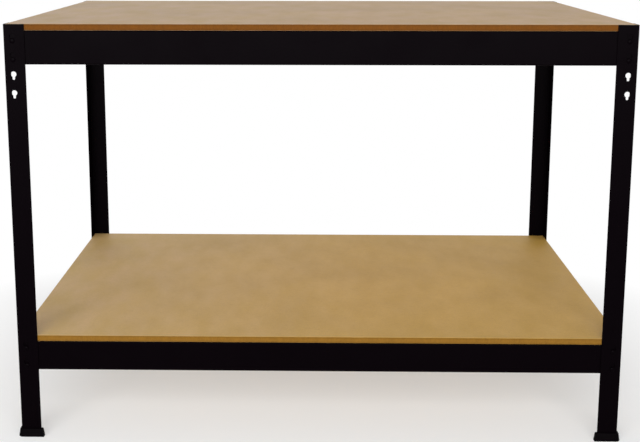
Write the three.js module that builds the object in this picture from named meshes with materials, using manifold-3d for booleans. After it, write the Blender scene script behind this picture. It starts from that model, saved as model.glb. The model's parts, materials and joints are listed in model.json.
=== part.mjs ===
// An assembly table: four folded steel angle posts on plastic feet, eight folded steel beams whose
// stud rivets hook into keyholes in the posts, and two loose fibreboards that lie on the beams.
// Millimetres, +Z up, +X to the right, +Y to the back, origin on the floor below the table's middle.
import * as THREE from 'three';
import { mergeVertices } from 'three/addons/utils/BufferGeometryUtils.js';
import Module from 'manifold-3d';

// The whole table, over the outer faces of the posts
const TABLE_WIDTH = 1200;
const TABLE_DEPTH = 800;
const TABLE_HEIGHT = 832;
const SHELF_HEIGHT = 213.3; // upper face of the lower board above the floor

// Angle posts
const POST_FLANGE = 40;
const POST_WALL = 1.8;
const POST_INNER_RADIUS = 1.2;

// Keyholes in the posts: the wide end is above the narrow end
const KEYHOLE_INSET = 16.7; // from the post's outer corner to the keyhole's middle line
const KEYHOLE_PITCH = 36;
const KEYHOLE_WIDE_DIAMETER = 10.8;
const KEYHOLE_DROP = 8.2; // from the wide end's middle down to the narrow end's middle
const SPARE_KEYHOLES = 2; // free keyholes below the upper beams, in each flange

// Folded beams
const BEAM_WALL = 1.5;
const BEAM_INNER_RADIUS = 1;
const BEAM_LEDGE = 20; // upper flange, which carries the board
const BEAM_LIP = 12; // lower flange, which stiffens the web
const RIVET_ABOVE_LIP = 9.5; // lower rivet above the beam's lower edge
const TOP_RIVET_BELOW_LEDGE = 19.5; // upper rivet below an upper beam's upper edge
const LOWER_RIVET_BELOW_LEDGE = 14.5; // upper rivet below a lower beam's upper edge

// Stud rivets
const RIVET_SHANK_DIAMETER = 4.4;
const RIVET_HEAD_DIAMETER = 9.4;
const RIVET_HEAD_HEIGHT = 2.2;
const RIVET_TAIL_DIAMETER = 6.8;
const RIVET_TAIL_HEIGHT = 1.5;
const RIVET_EDGE_HEIGHT = 0.6; // straight rim of the head, and chamfer of the tail

// Fibreboards
const BOARD_THICKNESS = 12;
const BOARD_ARRIS = 0.6; // broken edge all round

// Plastic feet: how far they stand out from the post's faces at each height
const FOOT_HEIGHT = 16.5;
const FOOT_BASE_THICKNESS = 3; // below the post's end
const FOOT_BASE_PROUD = 6; // at the floor
const FOOT_SHOULDER_PROUD = 3.9; // where the round shoulder starts
const FOOT_SHOULDER_HEIGHT = 3;
const FOOT_INNER_PROUD = 2.5; // at most, from the post's inner faces
const SOCKET_RIM = 1; // wall at the socket's mouth

// Clearances
const FIT_GAP = 0.3; // between pieces that lie on each other
const SHANK_CLEARANCE = 0.3; // round a rivet's shank
const SOCKET_CLEARANCE = 0.3; // round a post in its foot
const BOARD_CLEARANCE = 0.6; // from a board's edge to the posts
const BEAM_END_CLEARANCE = 1; // at the ends of the webs
const COPE_CLEARANCE = 0.5; // where flanges are cut back at the corners

// Fineness of round shapes
const ARC_STEPS = 3;
const HOLE_STEPS = 12;
const RIVET_STEPS = 8;
const SHOULDER_STEPS = 3;
const OVERSHOOT = 1; // how far a cutter reaches past what it cuts

const FULL_TURN = 2 * Math.PI;
const QUARTER_TURN = Math.PI / 2;
const X_AXIS = new THREE.Vector3(1, 0, 0);
const Y_AXIS = new THREE.Vector3(0, 1, 0);
const Z_AXIS = new THREE.Vector3(0, 0, 1);

const wasm = await Module();
wasm.setup();

// Heights that follow from the driving dimensions
const topBeam = { height: RIVET_ABOVE_LIP + KEYHOLE_PITCH + TOP_RIVET_BELOW_LEDGE };
topBeam.base = TABLE_HEIGHT - BOARD_THICKNESS - FIT_GAP - topBeam.height;
const lowerBeam = { height: RIVET_ABOVE_LIP + KEYHOLE_PITCH + LOWER_RIVET_BELOW_LEDGE };
lowerBeam.base = SHELF_HEIGHT - BOARD_THICKNESS - FIT_GAP - lowerBeam.height;
const rivetRises = [RIVET_ABOVE_LIP, RIVET_ABOVE_LIP + KEYHOLE_PITCH];
const rivetHeights = (beam) => rivetRises.map((rise) => beam.base + rise);

// Places of the beams' outer faces, from the post's outer faces inwards
const webInset = POST_WALL + FIT_GAP;

// Turns a geometry into a solid that can be cut
function solid(geometry) {
  const bare = geometry.clone();
  bare.deleteAttribute('normal');
  bare.deleteAttribute('uv');
  const merged = mergeVertices(bare);
  return new wasm.Manifold(new wasm.Mesh({
    numProp: 3,
    vertProperties: new Float32Array(merged.attributes.position.array),
    triVerts: new Uint32Array(merged.index.array),
  }));
}

// Turns a solid back into a geometry
function geometryOf(body) {
  const mesh = body.getMesh();
  const geometry = new THREE.BufferGeometry();
  geometry.setAttribute('position', new THREE.BufferAttribute(mesh.vertProperties, 3));
  geometry.setIndex(new THREE.BufferAttribute(mesh.triVerts, 1));
  geometry.computeVertexNormals();
  return geometry;
}

function cut(body, cutters) {
  return geometryOf(cutters.reduce((rest, cutter) => rest.subtract(solid(cutter)), body));
}

// Extrudes a shape upwards between two heights
function extrudeUp(shape, from, to, bevel = 0) {
  const geometry = new THREE.ExtrudeGeometry(shape, {
    depth: to - from - 2 * bevel,
    curveSegments: ARC_STEPS,
    bevelEnabled: bevel > 0,
    bevelSize: bevel,
    bevelThickness: bevel,
    bevelOffset: -bevel,
    bevelSegments: 1,
  });
  return geometry.translate(0, 0, from + bevel);
}

// Extrudes a shape, drawn with +Y to its right and +Z up, along X
function extrudeAlongX(shape, from, to) {
  const geometry = new THREE.ExtrudeGeometry(shape, {
    depth: to - from,
    curveSegments: ARC_STEPS,
    bevelEnabled: false,
  });
  const turned = new THREE.Matrix4().makeBasis(Y_AXIS, Z_AXIS, X_AXIS);
  return geometry.applyMatrix4(turned).translate(from, 0, 0);
}

function rectangle(left, low, right, high) {
  const shape = new THREE.Shape();
  shape.moveTo(left, low);
  shape.lineTo(right, low);
  shape.lineTo(right, high);
  shape.lineTo(left, high);
  shape.closePath();
  return shape;
}

// The post's L section with its outer corner at the origin, grown by an offset all round
function angleSection(offset) {
  const outerRadius = POST_INNER_RADIUS + POST_WALL + offset;
  const innerRadius = Math.max(POST_INNER_RADIUS - offset, 0);
  const outside = -offset;
  const inside = POST_WALL + offset;
  const end = POST_FLANGE + offset;
  const shape = new THREE.Shape();
  shape.moveTo(outside + outerRadius, outside);
  shape.lineTo(end, outside);
  shape.lineTo(end, inside);
  shape.lineTo(inside + innerRadius, inside);
  if (innerRadius > 0) {
    const middle = inside + innerRadius;
    shape.absarc(middle, middle, innerRadius, -QUARTER_TURN, -Math.PI, true);
  }
  shape.lineTo(inside, end);
  shape.lineTo(outside, end);
  shape.lineTo(outside, outside + outerRadius);
  shape.absarc(outside + outerRadius, outside + outerRadius, outerRadius, Math.PI, Math.PI + QUARTER_TURN);
  return shape;
}

// A keyhole's outline with the middle of its narrow end at a given place
function keyholeOutline(across, height) {
  const slotRadius = RIVET_SHANK_DIAMETER / 2 + SHANK_CLEARANCE;
  const wideRadius = KEYHOLE_WIDE_DIAMETER / 2;
  const wideHeight = height + KEYHOLE_DROP;
  const mouth = Math.asin(slotRadius / wideRadius);
  const shape = new THREE.Shape();
  shape.absarc(across, height, slotRadius, Math.PI, FULL_TURN);
  shape.absarc(across, wideHeight, wideRadius, -QUARTER_TURN + mouth, FULL_TURN - QUARTER_TURN - mouth);
  shape.closePath();
  return shape;
}

// A cutter for one keyhole in the flange that lies along the X axis or along the Y axis
function keyholeCutter(height, alongX) {
  const geometry = new THREE.ExtrudeGeometry(keyholeOutline(KEYHOLE_INSET, height), {
    depth: POST_WALL + 2 * OVERSHOOT,
    curveSegments: HOLE_STEPS / 2,
    bevelEnabled: false,
  });
  geometry.translate(0, 0, alongX ? -POST_WALL - OVERSHOOT : -OVERSHOOT);
  const through = alongX ? Y_AXIS.clone().negate() : X_AXIS;
  return geometry.applyMatrix4(new THREE.Matrix4().makeBasis(alongX ? X_AXIS : Y_AXIS, Z_AXIS, through));
}

// One post with its outer corner at the origin and its flanges along +X and +Y
function postGeometry() {
  const bar = extrudeUp(angleSection(0), FOOT_BASE_THICKNESS + FIT_GAP, TABLE_HEIGHT);
  const heights = [...rivetHeights(lowerBeam), ...rivetHeights(topBeam)];
  for (let spare = 1; spare <= SPARE_KEYHOLES; spare += 1) {
    heights.push(rivetHeights(topBeam)[0] - spare * KEYHOLE_PITCH);
  }
  const keyholes = heights.flatMap((height) => [keyholeCutter(height, true), keyholeCutter(height, false)]);
  return cut(solid(bar), keyholes);
}

// The post's section, grown by a wide offset between two heights and drawn in to a narrow one beyond them
function taperedAngle(low, high, taper, wide, narrow, steps) {
  const geometry = new THREE.ExtrudeGeometry(angleSection(narrow), {
    depth: high - low,
    curveSegments: ARC_STEPS,
    bevelEnabled: true,
    bevelSize: wide - narrow,
    bevelThickness: taper,
    bevelSegments: steps,
  });
  return solid(geometry.translate(0, 0, low));
}

// One foot below that post: an angle-shaped shoe that flares to the floor, with a socket for the post's end
function footGeometry() {
  const shoulder = FOOT_HEIGHT - FOOT_SHOULDER_HEIGHT;
  const mouth = SOCKET_CLEARANCE + SOCKET_RIM;
  const skirt = taperedAngle(-OVERSHOOT, 0, shoulder, FOOT_BASE_PROUD, FOOT_SHOULDER_PROUD, 1);
  const top = taperedAngle(
    FOOT_BASE_THICKNESS,
    shoulder,
    FOOT_SHOULDER_HEIGHT,
    FOOT_SHOULDER_PROUD,
    mouth,
    SHOULDER_STEPS,
  );
  const reach = 2 * POST_FLANGE;
  const inner = POST_WALL + FOOT_INNER_PROUD;
  return cut(skirt.add(top), [
    extrudeUp(rectangle(-reach, -reach, reach, reach), -reach, 0),
    extrudeUp(rectangle(inner, inner, reach, reach), -OVERSHOOT, FOOT_HEIGHT + OVERSHOOT),
    extrudeUp(angleSection(SOCKET_CLEARANCE), FOOT_BASE_THICKNESS, FOOT_HEIGHT + OVERSHOOT),
  ]);
}

// The beam's channel section: web at the left, ledge at the top right, lip at the bottom right
function beamSection(height) {
  const outerRadius = BEAM_WALL + BEAM_INNER_RADIUS;
  const inside = BEAM_WALL + BEAM_INNER_RADIUS;
  const shape = new THREE.Shape();
  shape.moveTo(outerRadius, 0);
  shape.lineTo(BEAM_LIP, 0);
  shape.lineTo(BEAM_LIP, BEAM_WALL);
  shape.absarc(inside, inside, BEAM_INNER_RADIUS, -QUARTER_TURN, -Math.PI, true);
  shape.absarc(inside, height - inside, BEAM_INNER_RADIUS, Math.PI, QUARTER_TURN, true);
  shape.lineTo(BEAM_LEDGE, height - BEAM_WALL);
  shape.lineTo(BEAM_LEDGE, height);
  shape.absarc(outerRadius, height - outerRadius, outerRadius, QUARTER_TURN, Math.PI);
  shape.absarc(outerRadius, outerRadius, outerRadius, Math.PI, Math.PI + QUARTER_TURN);
  return shape;
}

// One beam along X, its web's outer face in the XZ plane and its flanges towards +Y
function beamGeometry(height, webHalf, flangeHalf, rivetHalf) {
  const channel = extrudeAlongX(beamSection(height), -webHalf, webHalf);
  const cope = rectangle(BEAM_WALL, -OVERSHOOT, BEAM_LEDGE + OVERSHOOT, height + OVERSHOOT);
  const holeRadius = RIVET_SHANK_DIAMETER / 2 + SHANK_CLEARANCE;
  const cutters = [
    extrudeAlongX(cope, flangeHalf, webHalf + OVERSHOOT),
    extrudeAlongX(cope, -webHalf - OVERSHOOT, -flangeHalf),
  ];
  for (const across of [-rivetHalf, rivetHalf]) {
    for (const rise of rivetRises) {
      const hole = new THREE.CylinderGeometry(holeRadius, holeRadius, BEAM_WALL + 2 * OVERSHOOT, HOLE_STEPS);
      cutters.push(hole.translate(across, BEAM_WALL / 2, rise));
    }
  }
  return cut(solid(channel), cutters);
}

// One rivet along Y with the post's outer face in the XZ plane and its head towards -Y
function rivetGeometry() {
  const headFace = FIT_GAP;
  const headTop = headFace + RIVET_HEAD_HEIGHT;
  const tailFace = -(POST_WALL + FIT_GAP + BEAM_WALL + FIT_GAP);
  const tailEnd = tailFace - RIVET_TAIL_HEIGHT;
  const shankRadius = RIVET_SHANK_DIAMETER / 2;
  const headRadius = RIVET_HEAD_DIAMETER / 2;
  const tailRadius = RIVET_TAIL_DIAMETER / 2;
  const domeHeight = RIVET_HEAD_HEIGHT - RIVET_EDGE_HEIGHT;
  const dome = (turn) => new THREE.Vector2(
    headRadius * Math.cos(turn),
    headFace + RIVET_EDGE_HEIGHT + domeHeight * Math.sin(turn),
  );
  const profile = [
    new THREE.Vector2(0, tailEnd),
    new THREE.Vector2(tailRadius - RIVET_EDGE_HEIGHT, tailEnd),
    new THREE.Vector2(tailRadius, tailEnd + RIVET_EDGE_HEIGHT),
    new THREE.Vector2(tailRadius, tailFace),
    new THREE.Vector2(shankRadius, tailFace),
    new THREE.Vector2(shankRadius, headFace),
    new THREE.Vector2(headRadius, headFace),
    dome(0),
    dome(QUARTER_TURN / 2),
    new THREE.Vector2(0, headTop),
  ];
  return new THREE.LatheGeometry(profile, RIVET_STEPS).rotateX(Math.PI);
}

function boardGeometry() {
  const halfWidth = TABLE_WIDTH / 2 - POST_WALL - BOARD_CLEARANCE;
  const halfDepth = TABLE_DEPTH / 2 - POST_WALL - BOARD_CLEARANCE;
  const sheet = rectangle(-halfWidth, -halfDepth, halfWidth, halfDepth);
  return extrudeUp(sheet, 0, BOARD_THICKNESS, BOARD_ARRIS);
}

const finish = (color, roughness, metalness) => (
  new THREE.MeshStandardMaterial({ color, roughness, metalness })
);
const coatedSteel = () => finish(0x0d0a0c, 0.45, 0.2);
const rivetSteel = () => finish(0x121012, 0.4, 0.4);
const footPlastic = () => finish(0x0b0a0b, 0.6, 0);
const fibreboard = () => finish(0xb4976a, 0.7, 0);

const table = new THREE.Group();

function place(parent, name, geometry, material, position, turn = 0) {
  const mesh = new THREE.Mesh(geometry, material);
  mesh.name = name;
  mesh.position.set(...position);
  mesh.rotation.z = turn;
  parent.add(mesh);
}

// Posts and feet, turned a quarter from one corner to the next
const post = postGeometry();
const foot = footGeometry();
const corners = [
  { name: 'front_left', x: -TABLE_WIDTH / 2, y: -TABLE_DEPTH / 2, turn: 0 },
  { name: 'front_right', x: TABLE_WIDTH / 2, y: -TABLE_DEPTH / 2, turn: QUARTER_TURN },
  { name: 'back_right', x: TABLE_WIDTH / 2, y: TABLE_DEPTH / 2, turn: Math.PI },
  { name: 'back_left', x: -TABLE_WIDTH / 2, y: TABLE_DEPTH / 2, turn: -QUARTER_TURN },
];
for (const { name, x, y, turn } of corners) {
  place(table, `post_${name}`, post, coatedSteel(), [x, y, 0], turn);
  place(table, `foot_${name}`, foot, footPlastic(), [x, y, 0], turn);
}

// Beams and their rivets, on the four sides of each level
const longHalf = TABLE_WIDTH / 2;
const shortHalf = TABLE_DEPTH / 2;
const longBeam = {
  web: longHalf - POST_WALL - BEAM_END_CLEARANCE,
  flange: longHalf - webInset - BEAM_WALL - COPE_CLEARANCE,
  rivet: longHalf - KEYHOLE_INSET,
};
const shortBeam = {
  web: shortHalf - webInset - BEAM_WALL - BEAM_END_CLEARANCE,
  flange: shortHalf - webInset - BEAM_LEDGE - COPE_CLEARANCE,
  rivet: shortHalf - KEYHOLE_INSET,
};
const sides = [
  { name: 'front', span: longBeam, reach: shortHalf, turn: 0, ends: ['left', 'right'] },
  { name: 'right', span: shortBeam, reach: longHalf, turn: QUARTER_TURN, ends: ['front', 'back'] },
  { name: 'back', span: longBeam, reach: shortHalf, turn: Math.PI, ends: ['right', 'left'] },
  { name: 'left', span: shortBeam, reach: longHalf, turn: -QUARTER_TURN, ends: ['back', 'front'] },
];
const rivet = rivetGeometry();
for (const [level, beam] of [['top', topBeam], ['lower', lowerBeam]]) {
  for (const { name, span, reach, turn, ends } of sides) {
    const side = new THREE.Group();
    side.rotation.z = turn;
    table.add(side);
    const channel = beamGeometry(beam.height, span.web, span.flange, span.rivet);
    place(side, `${level}_beam_${name}`, channel, coatedSteel(), [0, -reach + webInset, beam.base]);
    for (const [end, across] of [[ends[0], -span.rivet], [ends[1], span.rivet]]) {
      for (const [row, height] of [['lower', rivetHeights(beam)[0]], ['upper', rivetHeights(beam)[1]]]) {
        place(side, `${level}_${name}_rivet_${end}_${row}`, rivet, rivetSteel(), [across, -reach, height]);
      }
    }
  }
}

// Boards
const board = boardGeometry();
place(table, 'worktop_board', board, fibreboard(), [0, 0, TABLE_HEIGHT - BOARD_THICKNESS]);
place(table, 'shelf_board', board, fibreboard(), [0, 0, SHELF_HEIGHT - BOARD_THICKNESS]);

export default table;
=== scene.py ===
# %% [markdown]
# # An assembly table, made piece by piece
# The table has no bolts. Eight folded beams hook into four angle posts with stud rivets, the posts
# stand in plastic shoes, and two boards lie loose on the beams. All that is already fixed as a frame
# of solids. This lesson dresses the frame: every piece is made again the way a workshop makes it, and
# takes its place and its outer size from the solid that it stands for.

# %% Load the frame
import json
import math

import bmesh
import bpy
from mathutils import Matrix, Vector


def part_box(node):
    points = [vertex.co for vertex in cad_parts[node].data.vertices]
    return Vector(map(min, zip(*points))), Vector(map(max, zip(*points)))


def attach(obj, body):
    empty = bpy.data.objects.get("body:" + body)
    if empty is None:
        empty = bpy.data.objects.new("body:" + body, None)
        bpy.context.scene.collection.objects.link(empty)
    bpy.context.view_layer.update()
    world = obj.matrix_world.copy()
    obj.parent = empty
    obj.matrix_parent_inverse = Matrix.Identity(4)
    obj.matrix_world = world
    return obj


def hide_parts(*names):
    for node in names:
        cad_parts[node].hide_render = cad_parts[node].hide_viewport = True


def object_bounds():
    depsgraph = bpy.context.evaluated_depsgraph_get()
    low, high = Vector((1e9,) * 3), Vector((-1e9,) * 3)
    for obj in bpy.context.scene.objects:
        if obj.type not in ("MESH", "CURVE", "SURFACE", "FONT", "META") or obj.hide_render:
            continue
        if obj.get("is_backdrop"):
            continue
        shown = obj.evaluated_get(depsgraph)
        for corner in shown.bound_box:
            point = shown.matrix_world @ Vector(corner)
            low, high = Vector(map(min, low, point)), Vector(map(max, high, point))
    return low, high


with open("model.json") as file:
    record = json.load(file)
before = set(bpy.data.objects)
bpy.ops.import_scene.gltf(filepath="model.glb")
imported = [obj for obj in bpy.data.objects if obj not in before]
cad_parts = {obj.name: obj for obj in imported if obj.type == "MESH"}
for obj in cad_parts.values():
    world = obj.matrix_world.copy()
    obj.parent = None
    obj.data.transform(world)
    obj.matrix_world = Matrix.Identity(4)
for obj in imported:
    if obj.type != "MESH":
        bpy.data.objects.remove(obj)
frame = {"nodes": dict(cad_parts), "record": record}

MM = 0.001
QUARTER_TURN = math.pi / 2
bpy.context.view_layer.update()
post_low, post_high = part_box("post_front_left")
half_width = -post_low.x
half_depth = -post_low.y
scene = bpy.context.scene
scene.view_settings.view_transform = "Standard"

# %% [markdown]
# ## The camera
# The picture was taken from a little above the worktop, almost straight in front. A camera is known
# by its place, by where it looks and by its focal length. The lens axis meets the picture a little
# above and left of its middle, because the picture was cropped, and a small lens shift stands for
# that. Turned by a quarter about X a camera looks level along Y, so tilt and swing are two angles.

# %% Camera
IMAGE_WIDTH = 640
IMAGE_HEIGHT = 442
FOCAL_LENGTH_PIXELS = 1141.7
LENS_AXIS_COLUMN = 295.2
LENS_AXIS_ROW = 155
CAMERA_PLACE = Vector((-3.9, -2557.1, 994.6)) * MM
CAMERA_TILT_DOWN = math.radians(10.834)
CAMERA_SWING_LEFT = math.radians(1.115)

lens = bpy.data.cameras.new("camera")
lens.lens = FOCAL_LENGTH_PIXELS * lens.sensor_width / IMAGE_WIDTH
lens.shift_x = (IMAGE_WIDTH / 2 - LENS_AXIS_COLUMN) / IMAGE_WIDTH
lens.shift_y = (LENS_AXIS_ROW - IMAGE_HEIGHT / 2) / IMAGE_WIDTH
camera = bpy.data.objects.new("camera", lens)
camera.location = CAMERA_PLACE
camera.rotation_euler = (QUARTER_TURN - CAMERA_TILT_DOWN, 0, CAMERA_SWING_LEFT)
scene.collection.objects.link(camera)
scene.camera = camera
print("camera:", round(lens.lens, 1), "mm lens, shift", round(lens.shift_x, 3), round(lens.shift_y, 3))

# %% [markdown]
# ## Small helpers for finishes
# A finish is a tree of nodes. Long trees are hard to read as code, so two helpers do the plumbing:
# one opens a new finish, and one adds a node, fills in its sockets and links sockets into it. All
# textures are read in the piece's own coordinates, in metres, so a grain keeps its real size.


# %% Helpers: open a finish, add a node
def new_finish(name):
    """A new material with its tree, its shader and its coordinates."""
    finish = bpy.data.materials.new(name)
    finish.use_nodes = True
    tree = finish.node_tree
    place = tree.nodes.new("ShaderNodeTexCoord").outputs["Object"]
    return finish, tree, tree.nodes["Principled BSDF"], place


def add_node(tree, kind, links=None, operation=None, **values):
    """Adds a node, sets its sockets by name, and links sockets into it by name or number."""
    node = tree.nodes.new(kind)
    if operation:
        node.operation = operation
    for socket, value in values.items():
        node.inputs[socket].default_value = value
    for socket, source in (links or {}).items():
        tree.links.new(source, node.inputs[socket])
    return node


print("helpers:", new_finish.__name__, add_node.__name__)

# %% [markdown]
# ## Noise and ramps
# Almost every real surface is a few noises of different sizes laid over each other. One helper makes
# a noise that can be stretched into fibres and turned. Two more run it between two colours or between
# two numbers.


# %% Helpers: noise and ramps
def noise(tree, place, grain, stretch=(1, 1, 1), turned=0.0, detail=3.0, roughness=0.55):
    """A noise whose patches are about grain metres long, stretched and turned about Z."""
    mapped = add_node(tree, "ShaderNodeMapping", {"Vector": place})
    mapped.inputs["Scale"].default_value = [1 / (grain * along) for along in stretch]
    mapped.inputs["Rotation"].default_value = (0, 0, turned)
    values = {"Scale": 1.0, "Detail": detail, "Roughness": roughness}
    return add_node(tree, "ShaderNodeTexNoise", {"Vector": mapped.outputs[0]}, **values).outputs["Fac"]


def ramp(tree, factor, low, high, start=0.3, end=0.7):
    """Runs a factor between two colours."""
    node = add_node(tree, "ShaderNodeValToRGB", {"Fac": factor})
    node.color_ramp.elements[0].position = start
    node.color_ramp.elements[1].position = end
    node.color_ramp.elements[0].color = (*low, 1)
    node.color_ramp.elements[1].color = (*high, 1)
    return node.outputs["Color"]


def spread(tree, factor, low, high, start=0.3, end=0.7):
    """Runs a factor between two numbers."""
    node = add_node(tree, "ShaderNodeMapRange", {"Value": factor})
    for number, value in enumerate((start, end, low, high), 1):
        node.inputs[number].default_value = value
    return node.outputs["Result"]


print("helpers:", noise.__name__, ramp.__name__, spread.__name__)

# %% [markdown]
# ## Tints and bumps
# A run of tints changes a tone when the two are multiplied. A bump turns a noise into small hills, so
# that the light breaks on them although the mesh stays flat. The height of the hills is given in
# metres like the rest, and a strength says how much of it is shown.


# %% Helpers: tints and bumps
def tinted(tree, colour, tint, share=1.0):
    """Multiplies a colour by another one."""
    node = tree.nodes.new("ShaderNodeMix")
    node.data_type = "RGBA"
    node.blend_type = "MULTIPLY"
    node.inputs["Factor"].default_value = share
    tree.links.new(colour, node.inputs["A"])
    tree.links.new(tint, node.inputs["B"])
    return node.outputs["Result"]


def bumped(tree, shader, height, depth, strength, under=None):
    """Lays a bump of a given depth in metres on a shader, over another bump if there is one."""
    node = add_node(tree, "ShaderNodeBump", {"Height": height}, Strength=strength, Distance=depth)
    if under is not None:
        tree.links.new(under, node.inputs["Normal"])
    tree.links.new(node.outputs["Normal"], shader.inputs["Normal"])
    return node.outputs["Normal"]


print("helpers:", tinted.__name__, bumped.__name__)

# %% [markdown]
# ## Black powder coat
# The steel is sprayed with black powder and baked. The coat is satin, a little uneven, and has the
# fine waviness that is called orange peel. Its colour is almost the same everywhere, so what the eye
# reads is the gloss: the roughness drifts over the length of a beam, and the bump breaks reflections.
# The rivets are coated too, but their heads are pressed smooth, so they get less roughness.

# %% Finish: black powder coat
COAT_DARK = (0.0006, 0.0001, 0.0005)
COAT_LIGHT = (0.0015, 0.0004, 0.0012)
COAT_GLOSS = 0.018
COAT_PATCH = 90 * MM
COAT_SPECK = 0.9 * MM
COAT_PEEL = 2.2 * MM
COAT_ROUGHNESS = (0.34, 0.48)
STUD_ROUGHNESS = (0.26, 0.36)
PEEL_BUMP = (0.06 * MM, 0.35)
SPECK_BUMP = (0.02 * MM, 0.3)


def powder_coat(name, roughness):
    """A black coat whose roughness drifts between two values."""
    finish, tree, shader, place = new_finish(name)
    drift = noise(tree, place, COAT_PATCH, detail=2)
    speckle = noise(tree, place, COAT_SPECK, detail=2)
    peel = noise(tree, place, COAT_PEEL, detail=1)
    tree.links.new(ramp(tree, speckle, COAT_DARK, COAT_LIGHT), shader.inputs["Base Color"])
    tree.links.new(spread(tree, drift, *roughness), shader.inputs["Roughness"])
    shader.inputs["Specular IOR Level"].default_value = COAT_GLOSS
    wavy = bumped(tree, shader, peel, *PEEL_BUMP)
    bumped(tree, shader, speckle, *SPECK_BUMP, under=wavy)
    return finish


steel_coat = powder_coat("black_powder_coat", COAT_ROUGHNESS)
stud_coat = powder_coat("stud_coat", STUD_ROUGHNESS)
print("finishes:", steel_coat.name, stud_coat.name)

# %% [markdown]
# ## Moulded black plastic
# The shoes are moulded from black plastic, and the mould leaves a slightly grainy skin. It is as dark
# as the steel but duller, so the same kind of tree gets more roughness and a coarser, pitted bump.

# %% Finish: moulded plastic
PLASTIC_DARK = (0.0007, 0.0003, 0.0006)
PLASTIC_LIGHT = (0.0016, 0.0009, 0.0014)
PLASTIC_GLOSS = 0.026
PLASTIC_GRAIN = 0.7 * MM
PLASTIC_CLOUD = 20 * MM
PLASTIC_ROUGHNESS = (0.55, 0.75)
PLASTIC_BUMP = (0.08 * MM, 0.5)


def moulded_plastic(name):
    """Dull black plastic with a grainy skin."""
    finish, tree, shader, place = new_finish(name)
    grain = noise(tree, place, PLASTIC_GRAIN, detail=4, roughness=0.7)
    cloud = noise(tree, place, PLASTIC_CLOUD, detail=2)
    tree.links.new(ramp(tree, cloud, PLASTIC_DARK, PLASTIC_LIGHT), shader.inputs["Base Color"])
    tree.links.new(spread(tree, grain, *PLASTIC_ROUGHNESS), shader.inputs["Roughness"])
    shader.inputs["Specular IOR Level"].default_value = PLASTIC_GLOSS
    bumped(tree, shader, grain, *PLASTIC_BUMP)
    return finish


shoe_plastic = moulded_plastic("foot_plastic")
print("finish:", shoe_plastic.name)

# %% [markdown]
# ## The grain of a fibreboard
# The boards are pressed wood fibre. A face is smooth and tan, with soft clouds as wide as a hand,
# mottles drawn out from front to back, chips of a few millimetres, and hair-thin fibres, dark ones and
# pale ones, that cross each other. Each of these is one noise that multiplies the tone, so each can be
# weakened or left out without touching the others. A pair of tints says what a noise does where it is
# lowest and where it is highest.

# %% The face of a board: its grain
FACE_CLOUD = 220 * MM
FACE_MOTTLE = 50 * MM
FACE_CHIP = 3.2 * MM
FACE_FIBRE = 1.1 * MM
MOTTLE_STRETCH = (1, 2.5, 1)
DARK_FIBRE_LIE = {"stretch": (9, 1, 1), "turned": 0.35}
PALE_FIBRE_LIE = {"stretch": (1, 8, 1), "turned": -0.5}
CLOUD_TINTS = ((0.93, 0.93, 0.93), (1.06, 1.06, 1.06))
MOTTLE_TINTS = ((0.96, 0.95, 0.80), (1.04, 1.05, 1.20))
CHIP_TINTS = ((0.90, 0.89, 0.87), (1.07, 1.07, 1.07))
DARK_FIBRE_TINTS = ((0.84, 0.81, 0.77), (1, 1, 1))
DARK_FIBRE_RANGE = (0.30, 0.44)
PALE_FIBRE_TINTS = ((1, 1, 1), (1.10, 1.11, 1.13))
PALE_FIBRE_RANGE = (0.60, 0.72)
FIBRE_SHARE = 0.8


def grained(tree, place, colour, chips, dark_fibres):
    """Lays clouds, mottles, chips and two kinds of fibres over a colour."""
    cloud = noise(tree, place, FACE_CLOUD, roughness=0.5)
    mottle = noise(tree, place, FACE_MOTTLE, stretch=MOTTLE_STRETCH)
    pale_fibres = noise(tree, place, FACE_FIBRE, **PALE_FIBRE_LIE)
    darkening = ramp(tree, dark_fibres, *DARK_FIBRE_TINTS, *DARK_FIBRE_RANGE)
    lightening = ramp(tree, pale_fibres, *PALE_FIBRE_TINTS, *PALE_FIBRE_RANGE)
    colour = tinted(tree, colour, ramp(tree, cloud, *CLOUD_TINTS))
    colour = tinted(tree, colour, ramp(tree, mottle, *MOTTLE_TINTS))
    colour = tinted(tree, colour, ramp(tree, chips, *CHIP_TINTS))
    colour = tinted(tree, colour, darkening, FIBRE_SHARE)
    return tinted(tree, colour, lightening, FIBRE_SHARE)


print("face grains in mm:", [round(g / MM, 1) for g in (FACE_CLOUD, FACE_MOTTLE, FACE_CHIP, FACE_FIBRE)])

# %% [markdown]
# ## The face of a fibreboard
# Under the grain the tone of a face drifts from a greyer end of the board to a more golden one. Both
# boards are the same fibreboard, but each has its own pair of tones, greyer and lighter than the board's
# own colour: part of the grey sheen that a face shows at a flat angle is painted into them, most of it
# on the worktop. Chips and fibres are felt as well as seen, so they also make the bump, and the chips
# make the gloss uneven.

# %% Finish: the face of a board
FACE_GLOSS = 0.24
FACE_ROUGHNESS = (0.56, 0.72)
FIBRE_BUMP = (0.04 * MM, 0.4)
CHIP_BUMP = (0.05 * MM, 0.35)
DRIFT_RANGE = (0.05, 0.6)
# Both pairs of tones hold painted grey sheen as well as the board's colour. The worktop's hold the most,
# so they are greyer and lighter.
WORKTOP_TONES_AND_SHEEN = ((0.510, 0.345, 0.185), (0.493, 0.317, 0.152))
SHELF_TONES_AND_SHEEN = ((0.556, 0.377, 0.159), (0.529, 0.322, 0.072))


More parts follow.
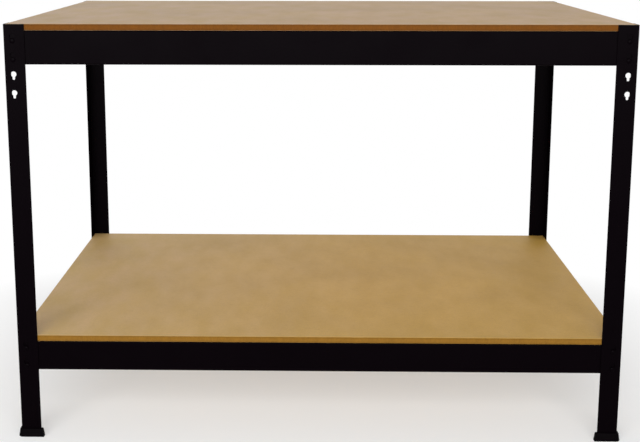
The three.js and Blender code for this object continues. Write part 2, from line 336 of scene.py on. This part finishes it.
def board_face(name, left_tone, right_tone):
    """A pressed face whose tone drifts from the left end of the board to the right one."""
    finish, tree, shader, place = new_finish(name)
    chips = noise(tree, place, FACE_CHIP, detail=5, roughness=0.7)
    dark_fibres = noise(tree, place, FACE_FIBRE, **DARK_FIBRE_LIE)
    end_to_end = add_node(tree, "ShaderNodeSeparateXYZ", {"Vector": place}).outputs["X"]
    share = spread(tree, end_to_end, 0.0, 1.0, -half_width, half_width)
    tone = ramp(tree, share, left_tone, right_tone, *DRIFT_RANGE)
    colour = grained(tree, place, tone, chips, dark_fibres)
    tree.links.new(colour, shader.inputs["Base Color"])
    tree.links.new(spread(tree, chips, *FACE_ROUGHNESS), shader.inputs["Roughness"])
    shader.inputs["Specular IOR Level"].default_value = FACE_GLOSS
    fibrous = bumped(tree, shader, dark_fibres, *FIBRE_BUMP)
    bumped(tree, shader, chips, *CHIP_BUMP, under=fibrous)
    return finish


# The worktop's face has most of its grey sheen painted into its tones, and the shelf's face has a little.
worktop_face = board_face("worktop_face", *WORKTOP_TONES_AND_SHEEN)
shelf_face = board_face("shelf_face", *SHELF_TONES_AND_SHEEN)
print("finishes:", worktop_face.name, shelf_face.name)

# %% [markdown]
# ## The sawn edge of a fibreboard
# A saw opens the board, and its edge is darker and furry. It is darkest near the faces, where the
# board is pressed hardest, so the tone follows the distance from the middle of the board's thickness.
# The saw also leaves a faint chatter, which is a coarse noise stretched upright.

# %% Finish: the sawn edge of a board
EDGE_GLOSS = 0.1
EDGE_FUR = 1.2 * MM
EDGE_CHATTER = 12 * MM
EDGE_CORE = 1.5 * MM
EDGE_CRUST = 5.8 * MM
CORE_SHADE = 1.06
CRUST_SHADE = 0.84
FUR_STRETCH = (1, 1, 4)
FUR_TINTS = ((0.74, 0.72, 0.68), (1.14, 1.14, 1.12))
FUR_BUMP = (0.3 * MM, 0.6)
CHATTER_STRETCH = (1, 1, 8)
CHATTER_TINTS = ((0.93, 0.92, 0.91), (1.05, 1.05, 1.05))
EDGE_ROUGHNESS = (0.78, 0.92)
WORKTOP_EDGE_TONE = (0.123, 0.043, 0.005)
SHELF_EDGE_TONE = (0.196, 0.095, 0.013)


def scaled(tone, factor):
    """A lighter or darker tone."""
    return tuple(channel * factor for channel in tone)


def sawn_edge(name, tone):
    """A furry edge, darkest near the two faces."""
    finish, tree, shader, place = new_finish(name)
    height = add_node(tree, "ShaderNodeSeparateXYZ", {"Vector": place}).outputs["Z"]
    from_core = add_node(tree, "ShaderNodeMath", {0: height}, "ABSOLUTE").outputs[0]
    crust = spread(tree, from_core, 0.0, 1.0, EDGE_CORE, EDGE_CRUST)
    fur = noise(tree, place, EDGE_FUR, stretch=FUR_STRETCH, detail=5, roughness=0.7)
    chatter = noise(tree, place, EDGE_CHATTER, stretch=CHATTER_STRETCH, detail=2)
    colour = ramp(tree, crust, scaled(tone, CORE_SHADE), scaled(tone, CRUST_SHADE), 0.0, 1.0)
    colour = tinted(tree, colour, ramp(tree, fur, *FUR_TINTS))
    colour = tinted(tree, colour, ramp(tree, chatter, *CHATTER_TINTS))
    tree.links.new(colour, shader.inputs["Base Color"])
    tree.links.new(spread(tree, fur, *EDGE_ROUGHNESS), shader.inputs["Roughness"])
    shader.inputs["Specular IOR Level"].default_value = EDGE_GLOSS
    bumped(tree, shader, fur, *FUR_BUMP)
    return finish


worktop_edge = sawn_edge("worktop_sawn_edge", WORKTOP_EDGE_TONE)
shelf_edge = sawn_edge("shelf_sawn_edge", SHELF_EDGE_TONE)
print("finishes:", worktop_edge.name, shelf_edge.name)

# %% [markdown]
# ## Placing a piece
# Pieces are shaped in bmesh, which is a mesh under the knife: points, edges and faces can be made and
# cut freely. When the shape is done it becomes a mesh, shaded smooth except at sharp angles. An object
# then puts the mesh in its place. It rides on the body that its solid belongs to and hides the solid.
# Pieces that are alike share one mesh.

# %% Helpers: from a shape to a piece in its place
BODIES = frame["record"]["behaviour"]["bodies"]
BODY_OF = {node: body for body, nodes in BODIES.items() for node in nodes}


def mesh_of(name, shape, sharp_from=None):
    """Turns a shape into a smooth mesh, with sharp edges where faces meet at a larger angle."""
    bmesh.ops.recalc_face_normals(shape, faces=shape.faces)
    mesh = bpy.data.meshes.new(name)
    shape.to_mesh(mesh)
    shape.free()
    mesh.shade_smooth()
    if sharp_from is not None:
        mesh.set_sharp_from_angle(angle=sharp_from)
    return mesh


def put(name, mesh, node, matrix):
    """Makes an object of a mesh in place of one solid of the frame."""
    piece = bpy.data.objects.new(name, mesh)
    piece.matrix_world = matrix
    scene.collection.objects.link(piece)
    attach(piece, BODY_OF[node])
    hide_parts(node)
    return piece


print("bodies:", {body: len(nodes) for body, nodes in BODIES.items()})

# %% [markdown]
# ## Punching a blank
# Posts and beams start as flat strips. A press punches the holes and cuts the ends. The same can be
# done with a mesh: draw the outline and the holes as closed rings of edges, and fill what lies between
# them with triangles. Boolean cuts would work too, but they leave ragged triangles round every hole.

# %% Helpers: punch a blank
HOLE_STEPS = 10


def arc(centre, radius, start, end, steps):
    """Points along an arc, from one angle to another."""
    turns = (start + (end - start) * step / steps for step in range(steps + 1))
    return [Vector((centre[0] + radius * math.cos(t), centre[1] + radius * math.sin(t))) for t in turns]


def punched_blank(outline, holes):
    """A flat shape with an outline and holes, filled with triangles."""
    blank = bmesh.new()
    for loop in (outline, *holes):
        ring = [blank.verts.new((point[0], point[1], 0)) for point in loop]
        for pair in zip(ring, ring[1:] + ring[:1]):
            blank.edges.new(pair)
    bmesh.ops.triangle_fill(blank, use_beauty=True, edges=blank.edges, normal=(0, 0, 1))
    return blank


print("a round hole has", 2 * HOLE_STEPS, "points")

# %% [markdown]
# ## Folding and thickening
# A brake folds the strip along a line. In a mesh the fold is a move of every point from its flat place
# to its folded one, and the blank needs extra cuts along the bend, so that it can turn there. What is
# folded is the middle of the sheet, whose length doesn't change. Solidify then gives the thickness to
# both sides, and a small bevel takes the sharpness off the cut edges and the rims of the holes. Where
# two bevels meet they can leave two points in one place, so a weld merges those.

# %% Helpers: score and thicken
BEND_STEPS = 8
CUT_EDGE = 0.28 * MM
CUT_EDGE_ANGLE = math.radians(50)
CUT_TOLERANCE = 1e-7
SAME_POINT = 0.005 * MM


def score(blank, lines):
    """Cuts a blank along lines of constant first coordinate, so that it can bend there."""
    for line in lines:
        everything = blank.verts[:] + blank.edges[:] + blank.faces[:]
        plane = {"plane_co": (line, 0, 0), "plane_no": (1, 0, 0)}
        bmesh.ops.bisect_plane(blank, geom=everything, dist=CUT_TOLERANCE, **plane)


def thickened(name, blank, thickness):
    """Turns a folded middle surface into sheet metal with softened edges."""
    maker = bpy.data.objects.new(name, mesh_of(name, blank))
    scene.collection.objects.link(maker)
    sheet = maker.modifiers.new("thickness", "SOLIDIFY")
    sheet.thickness = thickness
    sheet.offset = 0
    sheet.use_even_offset = True
    rim = maker.modifiers.new("cut edge", "BEVEL")
    rim.width = CUT_EDGE
    rim.segments = 2
    rim.limit_method = "ANGLE"
    rim.angle_limit = CUT_EDGE_ANGLE
    merged = maker.modifiers.new("merged points", "WELD")
    merged.merge_threshold = SAME_POINT
    maker.modifiers.new("even shading", "WEIGHTED_NORMAL")
    settled = maker.evaluated_get(bpy.context.evaluated_depsgraph_get())
    made = bpy.data.meshes.new_from_object(settled)
    made.name = name
    bpy.data.objects.remove(maker)
    return made


print("bends have", BEND_STEPS, "steps, cut edges a bevel of", round(CUT_EDGE / MM, 2), "mm")

# %% [markdown]
# ## Keyholes
# Keyholes are punched in pairs, one in each flange of a post: where the beams hook in, and in two free
# rows below the upper beams. The wide end lets a rivet's head through, and the narrow end below it
# holds the shank. The rivets sit in the narrow ends, so their heights give the keyholes' heights.

# %% Keyholes
KEYHOLE_INSET = 16.7 * MM
KEYHOLE_PITCH = 36 * MM
KEYHOLE_WIDE_RADIUS = 5.4 * MM
KEYHOLE_SLOT_RADIUS = 2.5 * MM
KEYHOLE_DROP = 8.2 * MM
SPARE_KEYHOLES = 2


def seat_heights(level):
    """Heights of a level's rivets, the lower one first."""
    names = [f"{level}_front_rivet_left_{row}" for row in ("lower", "upper")]
    return [sum(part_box(name), Vector()).z / 2 for name in names]


def keyhole(across, seat):
    """The outline of the keyhole whose narrow end is round a seat."""
    mouth = math.asin(KEYHOLE_SLOT_RADIUS / KEYHOLE_WIDE_RADIUS)
    narrow = arc((across, seat), KEYHOLE_SLOT_RADIUS, math.pi, 2 * math.pi, HOLE_STEPS)
    start = mouth - QUARTER_TURN
    end = 3 * QUARTER_TURN - mouth
    return narrow + arc((across, seat + KEYHOLE_DROP), KEYHOLE_WIDE_RADIUS, start, end, 2 * HOLE_STEPS)


seats = seat_heights("lower") + seat_heights("top")
seats += [seat_heights("top")[0] - spare * KEYHOLE_PITCH for spare in range(1, SPARE_KEYHOLES + 1)]
print("keyhole seats:", [round(seat, 4) for seat in sorted(seats)])

# %% [markdown]
# ## Posts
# A post is a strip folded once along its middle into an angle. The strip lies flat with the fold at
# zero, so a point's first coordinate says how far round the fold it is: on one flange, in the bend or
# on the other flange. The middle of the bend looks straight at the outer corner of the angle, which is
# two and a half quarter turns round from +X.

# %% Posts
POST_WALL = 1.8 * MM
POST_INNER_RADIUS = 1.2 * MM
TO_OUTER_CORNER = 2.5 * QUARTER_TURN

post_flange = post_high.x - post_low.x
post_bend = POST_INNER_RADIUS + POST_WALL / 2
post_half_arc = QUARTER_TURN * post_bend / 2
post_corner = POST_INNER_RADIUS + POST_WALL


def fold_post(blank):
    """Moves the flat strip's points to the angle, with its outer corner at the origin."""
    for vert in blank.verts:
        around, height = vert.co.x, vert.co.y
        along = post_corner + abs(around) - post_half_arc
        if around >= post_half_arc:
            spot = (along, POST_WALL / 2)
        elif around <= -post_half_arc:
            spot = (POST_WALL / 2, along)
        else:
            turn = TO_OUTER_CORNER + around / post_bend
            spot = (post_corner + post_bend * math.cos(turn), post_corner + post_bend * math.sin(turn))
        vert.co = (*spot, height)


def post_mesh():
    """An angle with flanges along +X and +Y and all its keyholes."""
    half = post_half_arc + post_flange - post_corner
    hole_line = post_half_arc + KEYHOLE_INSET - post_corner
    holes = [keyhole(side * hole_line, seat) for seat in seats for side in (-1, 1)]
    outline = [(-half, post_low.z), (half, post_low.z), (half, post_high.z), (-half, post_high.z)]
    blank = punched_blank(outline, holes)
    score(blank, [post_half_arc * (2 * step / BEND_STEPS - 1) for step in range(BEND_STEPS + 1)])
    fold_post(blank)
    return thickened("angle_post", blank, POST_WALL)


angle_post = post_mesh()
angle_post.materials.append(steel_coat)
print("post:", len(angle_post.polygons), "faces,", len(seats), "keyholes in each flange")

# %% [markdown]
# ## Four corners
# The four posts are one mesh, set down four times. Each corner has its own matrix: a quarter turn more
# than the corner before it, and a step out to the table's corner. The shoes will use it again.

# %% Posts in their corners
CORNERS = {
    "front_left": (-1, -1, 0),
    "front_right": (1, -1, QUARTER_TURN),
    "back_right": (1, 1, 2 * QUARTER_TURN),
    "back_left": (-1, 1, 3 * QUARTER_TURN),
}


def corner_matrix(corner):
    """From a corner's own place, with flanges along +X and +Y, to the table."""
    to_right, to_back, turn = CORNERS[corner]
    place = Matrix.Translation((to_right * half_width, to_back * half_depth, 0))
    return place @ Matrix.Rotation(turn, 4, "Z")


for corner in CORNERS:
    put(f"angle_post_{corner}", angle_post, f"post_{corner}", corner_matrix(corner))
print("posts:", list(CORNERS))

# %% [markdown]
# ## The fold of a beam
# A beam is a strip folded twice into a channel: a tall web that is seen from outside, a ledge on top
# that carries the board, and a short lip below that keeps the web straight. The strip lies with the lip
# on the left, so one coordinate runs round the whole section, from the lip's edge to the ledge's.

# %% Beams: the fold
BEAM_WALL = 1.5 * MM
BEAM_INNER_RADIUS = 1 * MM
BEAM_LEDGE = 20 * MM
BEAM_LIP = 12 * MM

beam_bend = BEAM_INNER_RADIUS + BEAM_WALL / 2
beam_arc = QUARTER_TURN * beam_bend
beam_corner = BEAM_INNER_RADIUS + BEAM_WALL
lip_end = BEAM_LIP - beam_corner
web_start = lip_end + beam_arc


def fold_beam(blank, web):
    """Folds the strip: lip towards +Y below, web in the XZ plane, ledge towards +Y above."""
    web_end = web_start + web
    for vert in blank.verts:
        around, along = vert.co.x, vert.co.y
        if around <= lip_end:
            spot = (beam_corner + lip_end - around, BEAM_WALL / 2)
        elif around < web_start:
            turn = -QUARTER_TURN - (around - lip_end) / beam_bend
            spot = (beam_corner + beam_bend * math.cos(turn), beam_corner + beam_bend * math.sin(turn))
        elif around <= web_end:
            spot = (BEAM_WALL / 2, beam_corner + around - web_start)
        elif around < web_end + beam_arc:
            turn = 2 * QUARTER_TURN - (around - web_end) / beam_bend
            bend_height = beam_corner + web + beam_bend * math.sin(turn)
            spot = (beam_corner + beam_bend * math.cos(turn), bend_height)
        else:
            ledge_height = 2 * beam_corner + web - BEAM_WALL / 2
            spot = (beam_corner + around - web_end - beam_arc, ledge_height)
        vert.co = (along, *spot)


print("beam section:", round(beam_arc / MM, 2), "mm of strip in each bend")

# %% [markdown]
# ## The blank of a beam
# At the ends the lip and the ledge are cut away, so that two beams can meet in the corner of a post. A
# long beam needs only a little off, and a short beam stops before the long beam's ledge. Both ends are
# alike, so one end is drawn and the other is its mirror image. Four holes take the rivets.

# %% Beams: the blank
STUD_HOLE_RADIUS = 2.5 * MM


def beam_mesh(name, height, half_length, cope, stud_half, stud_rises):
    """A beam along X, with its web's outer face in the XZ plane and its lower edge at zero."""
    web = height - 2 * beam_corner
    web_end = web_start + web
    ledge_end = web_end + beam_arc + BEAM_LEDGE - beam_corner
    flange_half = half_length - cope
    right_end = [
        (ledge_end, flange_half),
        (web_end, flange_half),
        (web_end, half_length),
        (web_start, half_length),
        (web_start, flange_half),
        (0, flange_half),
    ]
    left_end = [(around, -along) for around, along in reversed(right_end)]
    centres = [(web_start + rise - beam_corner, end * stud_half) for rise in stud_rises for end in (-1, 1)]
    holes = [arc(centre, STUD_HOLE_RADIUS, 0, 4 * QUARTER_TURN, 2 * HOLE_STEPS)[:-1] for centre in centres]
    blank = punched_blank(right_end + left_end, holes)
    bends = [beam_arc * step / BEND_STEPS for step in range(BEND_STEPS + 1)]
    score(blank, [start + bend for start in (lip_end, web_end) for bend in bends])
    fold_beam(blank, web)
    return thickened(name, blank, BEAM_WALL)


print("beam blank: stud holes of", round(2 * STUD_HOLE_RADIUS / MM, 1), "mm")

# %% [markdown]
# ## Eight beams
# There are four kinds of beam: long and short, upper and lower. Each kind is made once, in the size of
# its solid, and stands on two opposite sides of the table.

# %% Beams in their places
LONG_COPE = 1.3 * MM
SHORT_COPE = 18 * MM
SIDE_TURNS = {"front": 0, "right": QUARTER_TURN, "back": 2 * QUARTER_TURN, "left": 3 * QUARTER_TURN}

for level in ("top", "lower"):
    for kind, sides in (("long", ("front", "back")), ("short", ("right", "left"))):
        low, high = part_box(f"{level}_beam_{sides[0]}")
        rises = [seat - low.z for seat in seat_heights(level)]
        if kind == "long":
            half_length, web_out, cope, stud_half = high.x, -low.y, LONG_COPE, half_width - KEYHOLE_INSET
        else:
            half_length, web_out, cope, stud_half = high.y, high.x, SHORT_COPE, half_depth - KEYHOLE_INSET
        channel = beam_mesh(f"channel_{level}_{kind}", high.z - low.z, half_length, cope, stud_half, rises)
        channel.materials.append(steel_coat)
        for side in sides:
            node = f"{level}_beam_{side}"
            turned = Matrix.Rotation(SIDE_TURNS[side], 4, "Z")
            matrix = turned @ Matrix.Translation((0, -web_out, low.z))
            put(f"channel_{node}", channel, node, matrix)
        print("beams:", level, kind, round(2 * half_length, 4), "m,", len(channel.polygons), "faces")

# %% [markdown]
# ## Stud rivets
# Each end of a beam carries two rivets. The shank goes through the web, its inner end is upset into a
# flat tail, and the domed head stands off outside, so that it can drop into a keyhole. A turned shape
# is a profile spun about an axis, which keeps the dome round from every side.

# %% Stud rivets: the profile
STUD_SHANK_RADIUS = 2.2 * MM
STUD_HEAD_RADIUS = 4.7 * MM
STUD_HEAD_HEIGHT = 2.2 * MM
STUD_HEAD_RIM = 0.6 * MM
STUD_TAIL_RADIUS = 3.4 * MM
STUD_TAIL_HEIGHT = 1.5 * MM
STUD_EDGE = 0.5 * MM
DOME_STEPS = 6


def stud_profile(length):
    """Radius and place along the axis, from the tail's end at zero to the dome's top."""
    head_face = length - STUD_HEAD_HEIGHT
    dome_base = head_face + STUD_HEAD_RIM
    dome_height = STUD_HEAD_HEIGHT - STUD_HEAD_RIM
    turns = [QUARTER_TURN * step / DOME_STEPS for step in range(DOME_STEPS)]
    return [
        (0, 0),
        (STUD_TAIL_RADIUS - STUD_EDGE, 0),
        (STUD_TAIL_RADIUS, STUD_EDGE),
        (STUD_TAIL_RADIUS, STUD_TAIL_HEIGHT),
        (STUD_SHANK_RADIUS, STUD_TAIL_HEIGHT),
        (STUD_SHANK_RADIUS, head_face),
        (STUD_HEAD_RADIUS - STUD_EDGE / 2, head_face),
        (STUD_HEAD_RADIUS, head_face + STUD_EDGE / 2),
        *((STUD_HEAD_RADIUS * math.cos(t), dome_base + dome_height * math.sin(t)) for t in turns),
        (0, length),
    ]


stud_low, stud_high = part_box("top_front_rivet_left_upper")
stud_length = stud_high.y - stud_low.y
print("stud:", round(stud_length / MM, 2), "mm long,", len(stud_profile(stud_length)), "profile points")

# %% [markdown]
# ## Thirty-two studs
# One stud is spun, and the solids of the frame say where the others go. A stud's own axis runs along
# Y, so the turn of its side of the table is all that its matrix needs besides its middle.

# %% Stud rivets in their places
STUD_STEPS = 28
STUD_SHARP_FROM = math.radians(40)


def stud_mesh(length):
    """A rivet along -Y, with its middle at the origin and its head in front."""
    shape = bmesh.new()
    points = stud_profile(length)
    ring = [shape.verts.new((radius, length / 2 - along, 0)) for radius, along in points]
    profile = ring + [shape.edges.new(pair) for pair in zip(ring, ring[1:])]
    spin = {"axis": (0, 1, 0), "cent": (0, 0, 0), "angle": 4 * QUARTER_TURN, "steps": STUD_STEPS}
    bmesh.ops.spin(shape, geom=profile, **spin)
    bmesh.ops.remove_doubles(shape, verts=shape.verts, dist=SAME_POINT)
    return mesh_of("stud", shape, STUD_SHARP_FROM)


stud = stud_mesh(stud_length)
stud.materials.append(stud_coat)
stud_nodes = [node for node in frame["nodes"] if "_rivet_" in node]
for node in stud_nodes:
    side = node.split("_")[1]
    middle = sum(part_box(node), Vector()) / 2
    matrix = Matrix.Translation(middle) @ Matrix.Rotation(SIDE_TURNS[side], 4, "Z")
    put(f"stud_{node}", stud, node, matrix)
print("studs:", len(stud_nodes), "of", len(stud.polygons), "faces")

# %% [markdown]
# ## The outline of a plastic shoe
# A shoe is a socket that the end of the post drops into, round at its shoulders and flared down to the
# floor. Every level of it is the post's own angle, grown by some offset. Inside the angle it grows
# less, so that the shoe stays slim there.

# %% Plastic shoes: the outline
FOOT_INNER_PROUD = 2.5 * MM
OUTLINE_STEPS = 6
SHARPEST_CORNER = 0.05 * MM


def angle_outline(offset):
    """The post's angle section with its outer corner at the origin, grown by an offset."""
    inner_offset = min(offset, FOOT_INNER_PROUD)
    inner_radius = max(POST_INNER_RADIUS - inner_offset, SHARPEST_CORNER)
    inside = POST_WALL + inner_offset
    inner_middle = inside + inner_radius
    end = post_flange + offset
    half_turn = 2 * QUARTER_TURN
    return [
        Vector((end, -offset)),
        Vector((end, inside)),
        *arc((inner_middle, inner_middle), inner_radius, -QUARTER_TURN, -half_turn, OUTLINE_STEPS),
        Vector((inside, end)),
        Vector((-offset, end)),
        *arc((post_corner, post_corner), post_corner + offset, half_turn, 1.5 * half_turn, OUTLINE_STEPS),
    ]


print("shoe outline:", len(angle_outline(0)), "points")

# %% [markdown]
# ## The levels of a plastic shoe
# With the outline at hand, a list of offsets and heights describes the whole shoe: from the floor up
# the outside, round the shoulder, over the rim and down into the slot, where the post gets a little
# play. Small edges at the floor and at the rim catch the light.

# %% Plastic shoes: the levels
FOOT_BASE_THICKNESS = 3 * MM
FOOT_SHOULDER_PROUD = 3.9 * MM
FOOT_SHOULDER_HEIGHT = 3 * MM
FOOT_EDGE = 0.4 * MM
SOCKET_CLEARANCE = 0.3 * MM
SOCKET_RIM = 1 * MM
RIM_EDGE = 0.25 * MM
SHOULDER_STEPS = 8

foot_low, foot_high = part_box("foot_front_left")
foot_proud = post_low.x - foot_low.x
foot_height = foot_high.z - foot_low.z


def foot_levels():
    """Offsets and heights, from the floor up the outside, over the rim and down into the slot."""
    mouth = SOCKET_CLEARANCE + SOCKET_RIM
    shoulder = foot_height - FOOT_SHOULDER_HEIGHT
    slope = (foot_proud - FOOT_SHOULDER_PROUD) / shoulder
    levels = [(foot_proud - FOOT_EDGE, 0), (foot_proud - slope * FOOT_EDGE, FOOT_EDGE)]
    for step in range(SHOULDER_STEPS + 1):
        turn = QUARTER_TURN * step / SHOULDER_STEPS
        offset = mouth + (FOOT_SHOULDER_PROUD - mouth) * math.cos(turn)
        levels.append((offset, shoulder + FOOT_SHOULDER_HEIGHT * math.sin(turn)))
    levels.append((SOCKET_CLEARANCE + RIM_EDGE, foot_height))
    levels.append((SOCKET_CLEARANCE, foot_height - RIM_EDGE))
    levels.append((SOCKET_CLEARANCE, FOOT_BASE_THICKNESS))
    return levels


print("shoe:", len(foot_levels()), "levels,", round(foot_height / MM, 1), "mm high")

# %% [markdown]
# ## Lofting the shoe
# Every outline has the same number of points, so two levels are joined by one four-sided face for each
# point. The first outline closes the shoe at the floor, and the last one is the bottom of its slot.

# %% Plastic shoes: the loft
FOOT_SHARP_FROM = math.radians(32)


def foot_mesh():
    """A shoe with its post's outer corner at the origin."""
    shape = bmesh.new()
    rings = []
    for offset, height in foot_levels():
        rings.append([shape.verts.new((point.x, point.y, height)) for point in angle_outline(offset)])
    for lower, upper in zip(rings, rings[1:]):
        for i in range(len(lower)):
            j = (i + 1) % len(lower)
            shape.faces.new((lower[i], lower[j], upper[j], upper[i]))
    shape.faces.new(rings[0][::-1])
    shape.faces.new(rings[-1])
    return mesh_of("shoe", shape, FOOT_SHARP_FROM)


shoe = foot_mesh()
shoe.materials.append(shoe_plastic)
for corner in CORNERS:
    put(f"shoe_{corner}", shoe, f"foot_{corner}", corner_matrix(corner))
print("shoes:", len(CORNERS), "of", len(shoe.polygons), "faces")

# %% [markdown]
# ## Boards
# The two boards are plain sheets that lie loose inside the posts. A sheet is easy, so the care goes
# into its edges: the saw leaves them square and the makers only break the arris. The faces and the
# sawn edges get different finishes, chosen by which way each face of the mesh looks.

# %% Boards
ARRIS = 0.6 * MM
ARRIS_STEPS = 3
ROUND_PROFILE = 0.5
LEVEL_ENOUGH = 0.5


def board_mesh(name, size):
    """A sheet about its own middle, with a broken arris all round."""
    shape = bmesh.new()
    bmesh.ops.create_cube(shape, size=1, matrix=Matrix.Diagonal((*size, 1)))
    arris = {"offset": ARRIS, "segments": ARRIS_STEPS, "profile": ROUND_PROFILE, "affect": "EDGES"}
    bmesh.ops.bevel(shape, geom=shape.edges, **arris)
    for face in shape.faces:
        face.material_index = 0 if abs(face.normal.z) > LEVEL_ENOUGH else 1
    return mesh_of(name, shape)


for node, face, edge in (
    ("worktop_board", worktop_face, worktop_edge),
    ("shelf_board", shelf_face, shelf_edge),
):
    low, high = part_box(node)
    board = board_mesh(f"sheet_{node}", high - low)
    board.materials.append(face)
    board.materials.append(edge)
    sheet = put(f"sheet_{node}", board, node, Matrix.Translation((low + high) / 2))
    sheet.modifiers.new("even shading", "WEIGHTED_NORMAL")
    print("board:", node, [round(v, 4) for v in high - low])

# %% [markdown]
# ## Two measures for the floor
# The table stands on a pale floor that keeps a shadow near the table and is plain white further out.
# Two measures steer that. One is how far a point of the floor lies from the table. The other is
# whether a ray shows the floor to someone: it does if it comes from the camera, a mirror or a glass.


# %% Helpers: seen rays, and the distance from the table
def seen_rays(tree):
    """One for rays that come from the camera or from a mirror or a glass, and zero for the rest."""
    path = tree.nodes.new("ShaderNodeLightPath").outputs
    links = {0: path["Is Glossy Ray"], 1: path["Is Transmission Ray"]}
    mirrored = add_node(tree, "ShaderNodeMath", links, "MAXIMUM").outputs[0]
    return add_node(tree, "ShaderNodeMath", {0: path["Is Camera Ray"], 1: mirrored}, "MAXIMUM").outputs[0]


def distance_from_table(tree, place):
    """How far a point of the floor lies outside the posts."""
    one_corner = add_node(tree, "ShaderNodeVectorMath", {0: place}, "ABSOLUTE").outputs[0]
    outside = add_node(tree, "ShaderNodeVectorMath", {0: one_corner}, "SUBTRACT")
    outside.inputs[1].default_value = (half_width, half_depth, 0)
    beyond = add_node(tree, "ShaderNodeVectorMath", {0: outside.outputs[0]}, "MAXIMUM").outputs[0]
    return add_node(tree, "ShaderNodeVectorMath", {0: beyond}, "LENGTH").outputs["Value"]


print("helpers:", seen_rays.__name__, distance_from_table.__name__)

# %% [markdown]
# ## The floor
# Close to the table the floor is a matt surface that takes the table's shadow, lifted a little so that
# the shadow stays light. With the distance from the table it turns into plain white. That white is
# only for seen rays. The light that the floor throws back at the table is that of the matt surface.

# %% Floor
FLOOR_HALF = 20
FLOOR_COLOUR = (0.93, 0.93, 0.93, 1)
FLOOR_ROUGHNESS = 0.9
FLOOR_GLOSS = 0.1
SHADOW_REACH = 0.4
SHADOW_LIFT = 0.4


def floor_finish():
    """Matt near the table, plain white further out."""
    finish, tree, shader, place = new_finish("floor")
    shader.inputs["Base Color"].default_value = FLOOR_COLOUR
    shader.inputs["Roughness"].default_value = FLOOR_ROUGHNESS
    shader.inputs["Specular IOR Level"].default_value = FLOOR_GLOSS
    fade = spread(tree, distance_from_table(tree, place), SHADOW_LIFT, 1.0, 0.0, SHADOW_REACH)
    share = add_node(tree, "ShaderNodeMath", {0: fade, 1: seen_rays(tree)}, "MULTIPLY").outputs[0]
    white = add_node(tree, "ShaderNodeEmission", Strength=1.0).outputs[0]
    mixed = add_node(tree, "ShaderNodeMixShader", {0: share, 1: shader.outputs[0], 2: white})
    tree.links.new(mixed.outputs[0], tree.nodes["Material Output"].inputs["Surface"])
    return finish


floor_shape = bmesh.new()
bmesh.ops.create_grid(floor_shape, x_segments=1, y_segments=1, size=FLOOR_HALF)
floor = bpy.data.objects.new("floor", mesh_of("floor", floor_shape))
floor.data.materials.append(floor_finish())
scene.collection.objects.link(floor)
floor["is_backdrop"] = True
print("floor:", 2 * FLOOR_HALF, "m, white from", SHADOW_REACH, "m outside the posts")

# %% [markdown]
# ## The sky
# The shelf lies in the shade of the worktop, and yet the picture shows both boards equally bright. So
# most of the light has to come from low down. The sky is bright at the horizon and dim overhead. Seen
# rays find a plain white sky instead.

# %% Sky
SKY_AT_HORIZON = 0.95
SKY_OVERHEAD = 0.22
SKY_DIM_FROM = 0.8


def light_sky():
    """A sky that dims with height, and plain white where it is seen."""
    scene.world = bpy.data.worlds.new("sky")
    scene.world.use_nodes = True
    tree = scene.world.node_tree
    direction = tree.nodes.new("ShaderNodeTexCoord").outputs["Generated"]
    height = add_node(tree, "ShaderNodeSeparateXYZ", {"Vector": direction}).outputs["Z"]
    strength = spread(tree, height, SKY_AT_HORIZON, SKY_OVERHEAD, 0.0, SKY_DIM_FROM)
    light = tree.nodes["Background"]
    light.inputs["Color"].default_value = (1, 1, 1, 1)
    tree.links.new(strength, light.inputs["Strength"])
    white = add_node(tree, "ShaderNodeBackground", Color=(1, 1, 1, 1), Strength=1.0).outputs[0]
    mixed = add_node(tree, "ShaderNodeMixShader", {0: seen_rays(tree), 1: light.outputs[0], 2: white})
    tree.links.new(mixed.outputs[0], tree.nodes["World Output"].inputs["Surface"])


light_sky()
print("sky:", SKY_AT_HORIZON, "at the horizon,", SKY_OVERHEAD, "overhead")

# %% [markdown]
# ## Two soft boxes
# A wide soft box in front reaches under the worktop. A weaker one behind the table lays a grey sheen
# on the worktop, which is seen at a flat angle. A box is given by its place, its width and height, and
# its power in watts.

# %% Soft boxes
FRONT_BOX = (Vector((-0.3, -3.2, 1.4)), (4.0, 1.8), 124)
BACK_BOX = (Vector((0, 2.9, 1.35)), (4.0, 1.6), 24)
BOX_TARGET = Vector((0, 0, 0.3))


def light_soft_box(name, place, size, power):
    """A rectangular lamp that looks at the table."""
    lamp = bpy.data.lights.new(name, "AREA")
    lamp.shape = "RECTANGLE"
    lamp.size, lamp.size_y = size
    lamp.energy = power
    box = bpy.data.objects.new(name, lamp)
    box.location = place
    box.rotation_euler = (BOX_TARGET - place).to_track_quat("-Z", "Y").to_euler()
    scene.collection.objects.link(box)


light_soft_box("front_soft_box", *FRONT_BOX)
light_soft_box("back_soft_box", *BACK_BOX)
print("soft boxes:", FRONT_BOX[-1], "W in front and", BACK_BOX[-1], "W behind")

# %% [markdown]
# ## Measure and finish
# The last line measures the box round everything that is shown, the floor left out.

# %% Measure and finish
low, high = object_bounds()
